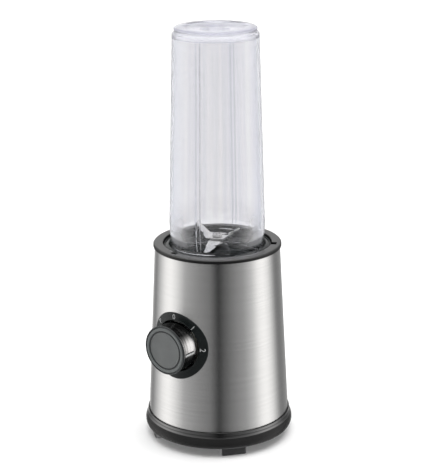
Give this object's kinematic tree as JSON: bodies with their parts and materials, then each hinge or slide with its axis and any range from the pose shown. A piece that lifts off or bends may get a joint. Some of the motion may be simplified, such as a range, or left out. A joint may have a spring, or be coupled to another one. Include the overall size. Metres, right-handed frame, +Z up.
{
  "type": "countertop blender",
  "caption": "Personal countertop blender: tapered brushed-steel motor base with a side control knob, bayonet blade unit and clear inverted cup.",
  "frame": {"origin": "on the motor axis, at the level the rubber feet stand on", "axes": "+Z up along the motor axis; -Y points out through the control knob; +X to the right when facing the knob"},
  "size_m": [0.122, 0.1368, 0.3388],
  "materials": {
    "brushed_steel": "fine circumferential brushing",
    "blade_steel": "ground stainless",
    "dark_steel": "plain steel",
    "copper": "enamelled copper wire and copper bars",
    "black_plastic": "fine spark-eroded texture",
    "knob_chrome": "plated, polished",
    "knob_grey": "satin",
    "white_ink": "satin",
    "nylon": "moulded",
    "graphite": "pressed carbon",
    "rubber": "matte",
    "seal_rubber": "matte",
    "clear_plastic": "clear, polished"
  },
  "bodies": {
    "base": {"steel_shell": "brushed_steel", "top_collar": "black_plastic", "docking_well": "black_plastic", "base_ring": "black_plastic", "bottom_cover": "black_plastic", "foot_1": "rubber", "foot_2": "rubber", "foot_3": "rubber", "foot_4": "rubber", "cover_screw_1": "dark_steel", "cover_screw_2": "dark_steel", "cover_screw_3": "dark_steel", "cover_screw_4": "dark_steel", "dial_bezel": "black_plastic", "rotary_switch": "nylon", "switch_bracket": "dark_steel", "cord_gland": "rubber", "stator_core": "dark_steel", "field_coil_left": "copper", "field_coil_right": "copper", "motor_top_bracket": "dark_steel", "motor_bottom_bracket": "dark_steel", "upper_bearing": "dark_steel", "lower_bearing": "dark_steel", "motor_mount_1": "rubber", "motor_mount_2": "rubber", "motor_mount_3": "rubber", "motor_mount_4": "rubber", "brush_holder_left": "nylon", "brush_holder_right": "nylon", "carbon_brush_left": "graphite", "carbon_brush_right": "graphite", "microswitch": "black_plastic", "plunger_spring": "dark_steel"},
    "rotor": {"motor_shaft": "dark_steel", "armature_core": "dark_steel", "armature_winding_upper": "copper", "armature_winding_lower": "copper", "commutator": "copper", "cooling_fan": "nylon", "drive_coupler": "nylon"},
    "knob": {"knob_body": "knob_chrome", "knob_cap": "knob_grey", "knob_pointer": "white_ink", "switch_shaft": "dark_steel"},
    "lock": {"lock_ring": "black_plastic"},
    "plunger": {"interlock_plunger": "nylon"},
    "blade_unit": {"blade_holder": "black_plastic", "spindle_bush": "blade_steel"},
    "blade_spindle": {"upper_blade": "blade_steel", "lower_blade": "blade_steel", "blade_shaft": "blade_steel", "blade_spacer": "blade_steel", "blade_nut": "blade_steel", "driven_coupler": "nylon"},
    "seal": {"cup_seal": "seal_rubber"},
    "cup_body": {"cup": "clear_plastic"}
  },
  "joints": [
    {"name": "motor_spin", "type": "hinge", "parent": "base", "child": "rotor", "pos_m": [0, 0, 0.08], "axis": [0, 0, 1], "continuous": true},
    {"name": "knob_turn", "type": "hinge", "parent": "base", "child": "knob", "pos_m": [0, -0.054, 0.0905], "axis": [0, 1, 0], "range_deg": [-135, 0]},
    {"name": "unit_twist", "type": "hinge", "parent": "base", "child": "lock", "pos_m": [0, 0, 0.139], "axis": [0, 0, 1], "range_deg": [0, 30]},
    {"name": "plunger_press", "type": "slide", "parent": "base", "child": "plunger", "axis": [0, 0, 1], "range_m": [0, 0.002], "deforming": ["plunger_spring"]},
    {"name": "unit_lift", "type": "slide", "parent": "lock", "child": "blade_unit", "axis": [0, 0, 1], "range_m": [0, 0.04]},
    {"name": "blade_spin", "type": "hinge", "parent": "blade_unit", "child": "blade_spindle", "pos_m": [0, 0, 0.16], "axis": [0, 0, 1], "continuous": true},
    {"name": "cup_unscrew", "type": "hinge", "parent": "blade_unit", "child": "seal", "pos_m": [0, 0, 0.1525], "axis": [0, 0, 1], "range_deg": [0, 300]},
    {"name": "cup_rise", "type": "slide", "parent": "seal", "child": "cup_body", "axis": [0, 0, 1], "range_m": [0, 0.00667]}
  ],
  "couplings": [
    {"joint": "blade_spin", "follows": "motor_spin", "ratio": 1},
    {"joint": "cup_unscrew", "follows": "cup_rise", "rad_per_m": 785.4},
    {"joint": "plunger_press", "follows": "unit_twist", "m_per_rad": 0.0036287}
  ]
}
